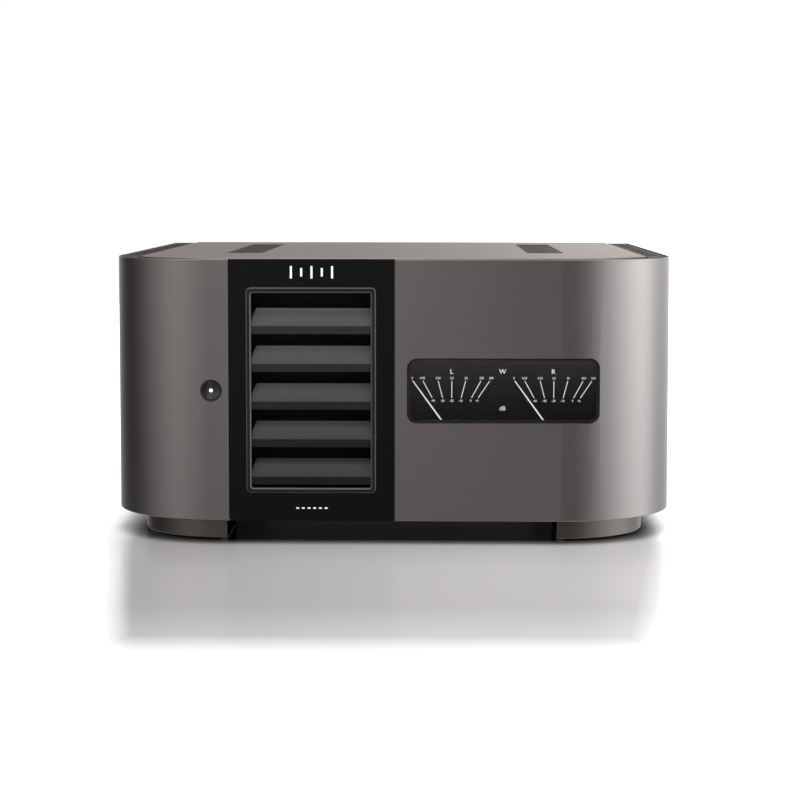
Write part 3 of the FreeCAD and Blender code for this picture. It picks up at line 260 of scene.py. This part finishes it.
# ------------------------------------------------------------------ surface materials
def surface(name, base, rough, metal=0.0, vary=0.03, grain=900.0, bump=0.02, coat=0.0, spec=0.5, stretch=(1, 1, 1), rough_vary=0.04, edge=0.0, emission=None, below=None, glow=None, tint=None, facing=None, rise=None, ledge=None, inward=None, chamfer_highlight=None, slats=None, shade_across=None):
    """Principled surface with grain in colour, roughness and bump, and a little wear on its edges."""
    mat, t = new_mat(name)
    p = t.n("ShaderNodeBsdfPrincipled")
    o = t.n("ShaderNodeOutputMaterial")
    t.link(p.outputs[0], o.inputs[0])
    tc = t.n("ShaderNodeTexCoord")
    mp = t.n("ShaderNodeMapping")
    mp.inputs["Scale"].default_value = stretch
    t.link(tc.outputs["Object"], mp.inputs[0])
    fine = t.n("ShaderNodeTexNoise")
    fine.inputs["Scale"].default_value = grain
    fine.inputs["Detail"].default_value = 3.0
    t.link(mp.outputs[0], fine.inputs["Vector"])
    broad = t.n("ShaderNodeTexNoise")
    broad.inputs["Scale"].default_value = 9.0
    broad.inputs["Detail"].default_value = 4.0
    t.link(tc.outputs["Object"], broad.inputs["Vector"])
    mix = t.math("ADD", t.math("MULTIPLY", fine.outputs["Fac"], 0.5), t.math("MULTIPLY", broad.outputs["Fac"], 0.5))
    lo = tuple(max(0.0, c * (1 - vary)) for c in base)
    hi = tuple(min(1.0, c * (1 + vary)) for c in base)
    colour = t.ramp(mix, [(0.35, lo), (0.65, hi)])
    if edge > 0:
        geo = t.n("ShaderNodeNewGeometry")
        wear = t.math("MULTIPLY", t.math("SUBTRACT", geo.outputs["Pointiness"], 0.53, True), 6.0, True)
        mixc = t.n("ShaderNodeMixRGB")
        t.link(t.math("MULTIPLY", wear, edge), mixc.inputs[0])
        t.link(colour, mixc.inputs[1])
        mixc.inputs[2].default_value = (*tuple(min(1.0, c * 2.2 + 0.03) for c in base), 1)
        colour = mixc.outputs[0]
    if facing:  # painted shade: faces that don't look upwards are darker
        geo_n = t.n("ShaderNodeNewGeometry")
        sn = t.n("ShaderNodeSeparateXYZ")
        t.link(geo_n.outputs["Normal"], sn.inputs[0])
        lift = t.math("DIVIDE", t.math("SUBTRACT", sn.outputs["Z"], facing[0][0]), facing[0][1] - facing[0][0], True)
        shade = t.math("ADD", t.math("MULTIPLY", lift, 1.0 - facing[1]), facing[1])
        colour = t.scale(colour, shade)
    if rise:  # a little darker towards the bottom
        sr = t.n("ShaderNodeSeparateXYZ")
        t.link(tc.outputs["Object"], sr.inputs[0])
        part = t.math("DIVIDE", t.math("SUBTRACT", sr.outputs["Z"], rise[0]), rise[1] - rise[0], True)
        colour = t.scale(colour, t.math("ADD", t.math("MULTIPLY", part, 1.0 - rise[2]), rise[2]))
    shade_mask = None
    if ledge or inward or chamfer_highlight:
        geo_m = t.n("ShaderNodeNewGeometry")
        nm = t.n("ShaderNodeSeparateXYZ")
        t.link(geo_m.outputs["Normal"], nm.inputs[0])
        om = t.n("ShaderNodeSeparateXYZ")
        t.link(tc.outputs["Object"], om.inputs[0])
    if ledge:  # upward faces of the rim and the cut-outs are in shade
        shade_mask = t.math("GREATER_THAN", nm.outputs["Z"], 0.92)
        colour = t.scale(colour, t.math("SUBTRACT", 1.0, t.math("MULTIPLY", shade_mask, 1.0 - ledge)))
    if inward:  # faces turned towards the middle, under the part, are in shade
        shade_mask = t.math("LESS_THAN", t.math("MULTIPLY", nm.outputs["X"], om.outputs["X"]), -0.02)
        colour = t.scale(colour, t.math("SUBTRACT", 1.0, t.math("MULTIPLY", shade_mask, 1.0 - inward)))
    if chamfer_highlight:  # painted highlight: bevelled edge faces get a lighter colour than the face, for the light they catch
        ny = t.math("ABSOLUTE", nm.outputs["Y"])
        cut = t.math("MULTIPLY", t.math("GREATER_THAN", ny, 0.35), t.math("LESS_THAN", ny, 0.93))
        mixe = t.n("ShaderNodeMixRGB")
        t.link(cut, mixe.inputs[0])
        t.link(colour, mixe.inputs[1])
        mixe.inputs[2].default_value = (*chamfer_highlight, 1)
        colour = mixe.outputs[0]
    if slats:  # painted light and shade over each slat: the slope lightens strongly towards its upper edge, the lip stays darker: (lowest front edge, pitch, stops)
        ss = t.n("ShaderNodeSeparateXYZ")
        t.link(tc.outputs["Object"], ss.inputs[0])
        step = t.math("FRACT", t.math("DIVIDE", t.math("SUBTRACT", ss.outputs["Z"], slats[0] - slats[1]), slats[1]))
        colour = t.scale(colour, t.math("MULTIPLY", t.ramp(step, [(a, (v / 4.0,) * 3) for a, v in slats[2]]), 4.0))
    if shade_across:  # painted shade: on the right of the flat front the tone darkens towards the top and outer side, and lightens a little low down: (x1, z0, dz, amount)
        sx = t.n("ShaderNodeSeparateXYZ")
        t.link(tc.outputs["Object"], sx.inputs[0])
        run = t.math("DIVIDE", sx.outputs["X"], shade_across[0], True)
        fade = t.math("SUBTRACT", 1.0, t.math("DIVIDE", t.math("SUBTRACT", sx.outputs["X"], shade_across[0] + 0.004), 0.036, True))
        high = t.math("DIVIDE", t.math("SUBTRACT", sx.outputs["Z"], shade_across[1]), shade_across[2])
        drift = t.math("MULTIPLY", t.math("MULTIPLY", run, fade), t.math("MULTIPLY", high, -shade_across[3]))
        colour = t.scale(colour, t.math("ADD", drift, 1.0))
    if tint:
        p.inputs["Specular Tint"].default_value = (*tint, 1)
    if below or glow:
        at = t.n("ShaderNodeSeparateXYZ")
        t.link(tc.outputs["Object"], at.inputs[0])
    if below:  # painted shade: walls under a height are black, for the shadow in the gap under the cover's front edge
        mixb = t.n("ShaderNodeMixRGB")
        t.link(t.math("LESS_THAN", at.outputs["Z"], below[0]), mixb.inputs[0])
        t.link(colour, mixb.inputs[1])
        mixb.inputs[2].default_value = (*below[1], 1)
        colour = mixb.outputs[0]
    if glow:  # painted light: emission that stands in for lamp light, fading down the face
        fade = t.math("DIVIDE", t.math("SUBTRACT", at.outputs["Z"], glow[0]), glow[1] - glow[0], True)
        t.link(t.ramp(fade, glow[2]), p.inputs["Emission Color"])
        p.inputs["Emission Strength"].default_value = 1.0
    t.link(colour, p.inputs["Base Color"])
    t.link(t.math("ADD", t.math("MULTIPLY", t.math("SUBTRACT", mix, 0.5), rough_vary * 4), rough, True), p.inputs["Roughness"])
    # painted shade: faces in the painted shade also lose their metal reflection
    if shade_mask is not None and metal > 0:
        lit = t.math("SUBTRACT", 1.0, shade_mask)
        t.link(t.math("MULTIPLY", lit, metal), p.inputs["Metallic"])
        t.link(t.math("MULTIPLY", lit, spec), p.inputs["Specular IOR Level"])
    else:
        p.inputs["Metallic"].default_value = metal
        p.inputs["Specular IOR Level"].default_value = spec
    p.inputs["Coat Weight"].default_value = coat
    if emission:
        p.inputs["Emission Color"].default_value = (*emission[0], 1)
        p.inputs["Emission Strength"].default_value = emission[1]
    if bump > 0:
        b = t.n("ShaderNodeBump")
        b.inputs["Strength"].default_value = bump
        b.inputs["Distance"].default_value = 0.0002
        t.link(fine.outputs["Fac"], b.inputs["Height"])
        t.link(b.outputs[0], p.inputs["Normal"])
    return mat


M = {}
# the panels carry painted shade on their upward rim faces and over the flat front
M["panel"] = surface("panel_anodised", (0.205, 0.188, 0.185), 0.285, metal=1.0, vary=0.012, grain=1800, bump=0.03, rough_vary=0.02, ledge=0.35, shade_across=(0.122, 0.085, 0.11, 0.16))
M["top"] = surface("top_anodised", (0.205, 0.186, 0.180), 0.34, metal=1.0, vary=0.012, grain=1800, bump=0.03, rough_vary=0.02, tint=(0.42, 0.37, 0.335), below=(0.2203, (0.0, 0.0, 0.0)))
# painted shade: the feet are a darker copy of the panel's anodised finish, for the shade low under the body
M["foot"] = surface("foot_anodised", (0.095, 0.086, 0.081), 0.34, metal=1.0, vary=0.02, grain=1500, bump=0.04, rough_vary=0.03, inward=0.02)
M["strip"] = surface("strip_grille", (0.07, 0.064, 0.060), 0.42, metal=1.0, vary=0.04, grain=1500, bump=0.06, tint=(0.30, 0.27, 0.25))
M["fascia"] = surface("fascia_black", (0.0022, 0.0022, 0.0023), 0.32, vary=0.05, grain=2000, bump=0.02, spec=0.12)
M["frame"] = surface("grille_frame_black", (0.0028, 0.0028, 0.0029), 0.30, vary=0.04, grain=2000, bump=0.02, spec=0.30, chamfer_highlight=(0.060, 0.060, 0.062))
M["blade"] = surface("grille_blade", (0.040, 0.0372, 0.0385), 0.38, vary=0.03, grain=2200, bump=0.04, spec=0.28, facing=((0.05, 0.45), 0.44), rise=(0.060, 0.180, 0.30), slats=(0.052, 0.0292, [(0.0, 1.22), (0.22, 1.22), (0.295, 1.45), (0.345, 1.85), (0.395, 2.5), (0.43, 3.1), (0.47, 3.4), (0.6, 1.3), (0.8, 1.3), (1.0, 1.3)]))
M["foam"] = surface("filter_foam", (0.006, 0.006, 0.006), 0.95, vary=0.4, grain=700, bump=0.8, spec=0.1)
M["moulded"] = surface("moulded_black", (0.012, 0.012, 0.0125), 0.5, vary=0.06, grain=1400, bump=0.12)
M["gloss"] = surface("gloss_black", (0.004, 0.004, 0.0045), 0.09, vary=0.05, grain=400, bump=0.0, coat=0.6)
M["dial"] = surface("dial_black", (0.004, 0.004, 0.004), 0.8, vary=0.03, grain=2500, bump=0.0, spec=0.05, glow=(0.092, 0.146, [(0.0, (0.0015, 0.0015, 0.0015)), (0.35, (0.006, 0.006, 0.006)), (0.6, (0.013, 0.013, 0.013)), (0.85, (0.024, 0.021, 0.024)), (1.0, (0.046, 0.036, 0.043))]))
# painted light: the needles and the white print glow a little (emission)
M["needle"] = surface("needle_white", (0.85, 0.85, 0.83), 0.5, vary=0.02, grain=900, bump=0.0, emission=((1, 1, 0.98), 0.35))
M["print"] = surface("print_white", (0.75, 0.75, 0.74), 0.6, vary=0.03, grain=1500, bump=0.0, emission=((1, 1, 0.98), 0.28))
M["mask"] = surface("window_mask", (0.002, 0.002, 0.002), 0.4, vary=0.1, grain=900, bump=0.0)
M["led"] = surface("light_guide_lit", (0.9, 0.93, 1.0), 0.3, vary=0.02, grain=500, bump=0.0, emission=((0.9, 0.95, 1.0), 1.2))
M["zinc"] = surface("zinc_steel", (0.55, 0.56, 0.57), 0.32, metal=1.0, vary=0.06, grain=500, bump=0.03, stretch=(1, 6, 1))
M["blacksteel"] = surface("black_powder_coat", (0.018, 0.018, 0.0185), 0.5, vary=0.08, grain=1100, bump=0.25)
M["vent"] = surface("vent_steel", (0.085, 0.074, 0.065), 0.40, metal=1.0, vary=0.05, grain=1500, bump=0.08, tint=(0.36, 0.31, 0.27))
M["rubber"] = surface("rubber_black", (0.012, 0.012, 0.012), 0.8, vary=0.1, grain=900, bump=0.15, spec=0.3)
M["gold"] = surface("gold_plate", (0.83, 0.60, 0.26), 0.18, metal=1.0, vary=0.03, grain=600, bump=0.0)
M["alloy"] = surface("raw_aluminium", (0.62, 0.63, 0.64), 0.38, metal=1.0, vary=0.05, grain=600, bump=0.05, stretch=(1, 0.05, 1))
M["winding"] = surface("winding_tape", (0.42, 0.30, 0.05), 0.35, vary=0.10, grain=160, bump=0.3, stretch=(1, 1, 0.3))
M["pcb"] = surface("circuit_board", (0.015, 0.09, 0.04), 0.35, vary=0.25, grain=260, bump=0.1)
M["sleeve"] = surface("capacitor_sleeve", (0.012, 0.012, 0.03), 0.28, vary=0.06, grain=500, bump=0.02)
M["chip"] = surface("chip_black", (0.015, 0.015, 0.015), 0.45, vary=0.08, grain=1200, bump=0.08)
M["lead"] = surface("lead_sleeve", (0.02, 0.02, 0.02), 0.45, vary=0.05, grain=900, bump=0.05)

# clear glass: mostly see-through, with a thin reflection
mat, t = new_mat("window_glass")
tr = t.n("ShaderNodeBsdfTransparent")
gl = t.n("ShaderNodeBsdfGlossy")
gl.inputs["Roughness"].default_value = 0.03
fr = t.n("ShaderNodeFresnel")
fr.inputs["IOR"].default_value = 1.16
tc = t.n("ShaderNodeTexCoord")
ns = t.n("ShaderNodeTexNoise")
ns.inputs["Scale"].default_value = 60.0
t.link(tc.outputs["Object"], ns.inputs["Vector"])
tr.inputs["Color"].default_value = (0.93, 0.93, 0.95, 1)
t.link(t.ramp(ns.outputs["Fac"], [(0.3, (0.9, 0.88, 0.95)), (0.7, (0.97, 0.94, 1.0))]), gl.inputs["Color"])
ms = t.n("ShaderNodeMixShader")
t.link(fr.outputs[0], ms.inputs[0])
t.link(tr.outputs[0], ms.inputs[1])
t.link(gl.outputs[0], ms.inputs[2])
o = t.n("ShaderNodeOutputMaterial")
t.link(ms.outputs[0], o.inputs[0])
M["glass"] = mat

LOOK = {
    "panel": "left_wrap_panel right_wrap_panel",
    "foot": "corner_feet",
    "strip": "side_vent_grilles",
    "top": "top_cover",
    "fascia": "centre_fascia",
    "frame": "louvre_frame",
    "blade": "louvre_blades",
    "foam": "dust_filter",
    "moulded": "intake_duct meter_case exhaust_duct fan_frame fan_rotor post_bases rocker_frame mains_inlet trigger_jacks xlr_sockets",
    "gloss": "power_button button_ring rocker speaker_knob_1 speaker_knob_2 speaker_knob_3 speaker_knob_4",
    "led": "button_light_guide",
    "glass": "meter_window",
    "dial": "meter_dial",
    "needle": "needle_left needle_right",
    "zinc": "meter_movements front_bulkhead casing_brackets transformer_clamp data_sockets",
    "blacksteel": "base_plate rear_panel",
    "vent": "top_vent_grilles exhaust_grille",
    "rubber": "foot_pads transformer_pads",
    "gold": "post_studs rca_sockets inlet_pins",
    "alloy": "heatsinks tunnel_plates top_rails",
    "winding": "toroidal_transformer",
    "pcb": "amplifier_boards control_board dial_lamp_board button_switch_board input_boards supply_boards",
    "sleeve": "reservoir_capacitors",
    "chip": "output_transistors casing_screws",
    "lead": "supply_leads",
}
for look, names in LOOK.items():
    for n in names.split():
        ob = N[n]
        ob.data.materials.clear()
        ob.data.materials.append(M[look])
        for poly in ob.data.polygons:
            poly.use_smooth = True
        ob.data.set_sharp_from_angle(angle=math.radians(28))


# ------------------------------------------------------------------ printed dial
def merged(name, polys):
    """One flat mesh from (x, z) polygons in mm at depth y."""
    verts, faces = [], []
    for pts, y in polys:
        base = len(verts)
        verts += [(x * MM, y * MM, z * MM) for x, z in pts]
        faces.append(tuple(range(base, base + len(pts))))
    return plain_mesh(name, verts, faces)


def text_polys(body, xc, zc, height, width=None, stretch=1.0, bold=0.0):
    """Outline text laid flat in the XZ plane, returned as (verts, faces) in mm."""
    cu = bpy.data.curves.new("tmp", "FONT")
    cu.body = body
    cu.size = 1.0
    cu.resolution_u = 3
    cu.offset = bold
    ob = bpy.data.objects.new("tmp", cu)
    SC.collection.objects.link(ob)
    bpy.context.view_layer.update()
    me = bpy.data.meshes.new_from_object(ob.evaluated_get(bpy.context.evaluated_depsgraph_get()))
    xs = [v.co.x for v in me.vertices]
    ys = [v.co.y for v in me.vertices]
    x0, x1, y0, y1 = min(xs), max(xs), min(ys), max(ys)
    ref = 0.716 if body not in ("-",) else 0.716
    sz = height / max(0.05, (y1 - y0)) if body not in ("-", "+3", "-10", "-20", "-30", "-40") else height / ref
    sx = (width / (x1 - x0)) if width else sz * stretch
    verts = [((v.co.x - (x0 + x1) / 2) * sx + xc, (v.co.y - (y0 + y1) / 2) * sz + zc) for v in me.vertices]
    faces = [tuple(f.vertices) for f in me.polygons]
    bpy.data.objects.remove(ob)
    bpy.data.curves.remove(cu)
    bpy.data.meshes.remove(me)
    return verts, faces


def print_mesh(name, items, y):
    verts, faces = [], []
    for vs, fs in items:
        b = len(verts)
        verts += [(x * MM, y * MM, z * MM) for x, z in vs]
        faces += [tuple(i + b for i in f) for f in fs]
    return plain_mesh(name, verts, faces)


def bar(x0, z0, x1, z1, w):
    dx, dz = x1 - x0, z1 - z0
    l = math.hypot(dx, dz)
    nx, nz = -dz / l * w / 2, dx / l * w / 2
    return ([(x0 + nx, z0 + nz), (x0 - nx, z0 - nz), (x1 - nx, z1 - nz), (x1 + nx, z1 + nz)], [(0, 1, 2, 3)])


DIAL_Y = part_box("meter_dial")[0].y / MM
items = []
TOPN = [(15.9, "0"), (24.0, "0.02"), (36.1, "0.25"), (46.7, "2.5"), (57.7, "25"), (69.7, "250"), (77.2, "500")]
BOTN = [(26.0, "-"), (32.0, "-40"), (39.5, "-30"), (46.5, "-20"), (53.5, "-10"), (61.2, "0"), (66.1, "+3")]
LINES = [(24.23, 31.44), (36.04, 39.51), (46.67, 46.6), (57.34, 53.89), (69.14, 61.9), (75.91, 67.13)]
for off in (0.0, 78.9):
    for x, s in TOPN:
        items.append(text_polys(s, x + off, 128.1, 1.8, stretch=0.92, bold=0.012))
    for x, s in BOTN:
        items.append(text_polys(s, x + off, 110.5, 1.8, stretch=0.92, bold=0.012))
    for a, b in LINES:
        items.append(bar(a + off, 125.87, b + off, 112.7, 0.62))
items.append(text_polys("L", 46.6, 133.2, 3.7, bold=0.02))
items.append(text_polys("R", 125.4, 133.2, 3.7, bold=0.02))
items.append(text_polys("W", 85.9, 133.2, 3.7, bold=0.02))
items.append(text_polys("dB", 85.9, 104.6, 3.2, bold=0.01))
dial_print = add_object("dial_print", print_mesh("dial_print", items, DIAL_Y - 0.06))
dial_print.data.materials.append(M["print"])
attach(dial_print, "casing")


# black border printed on the back of the window
def rounded(x0, x1, z0, z1, r, n=8):
    pts = []
    for cx, cz, a0 in ((x1 - r, z0 + r, -90), (x1 - r, z1 - r, 0), (x0 + r, z1 - r, 90), (x0 + r, z0 + r, 180)):
        for k in range(n + 1):
            a = math.radians(a0 + 90 * k / n)
            pts.append((cx + r * math.cos(a), cz + r * math.sin(a)))
    return pts


lo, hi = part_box("meter_window")
x0, x1, z0, z1 = lo.x / MM, hi.x / MM, lo.z / MM, hi.z / MM
outer = rounded(x0, x1, z0, z1, 8.0)
inner = rounded(x0 + 2.4, x1 - 2.4, z0 + 2.4, z1 - 2.2, 5.6)
k = len(outer)
verts = [(x * MM, (hi.y / MM + 0.08) * MM, z * MM) for x, z in outer + inner]
faces = [(i, (i + 1) % k, k + (i + 1) % k, k + i) for i in range(k)]
mask = add_object("window_border", plain_mesh("window_border", verts, faces))
mask.data.materials.append(M["mask"])
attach(mask, "casing")

# ------------------------------------------------------------------ plain printed marks on the fascia
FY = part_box("centre_fascia")[0].y / MM - 0.05
marks = []
for i, h in enumerate((9.4, 6.4, 9.4, 6.4, 9.4)):
    x = -77.0 + i * 7.9
    marks.append(bar(x, 210.3 - h / 2, x, 210.3 + h / 2, 1.5))
for i in range(6):
    x = -72.4 + i * 4.4
    marks.append(bar(x - 1.1, 27.9, x + 1.1, 27.9, 1.1))
fm = add_object("fascia_marks", print_mesh("fascia_marks", marks, FY))
fm.data.materials.append(M["print"])
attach(fm, "casing")
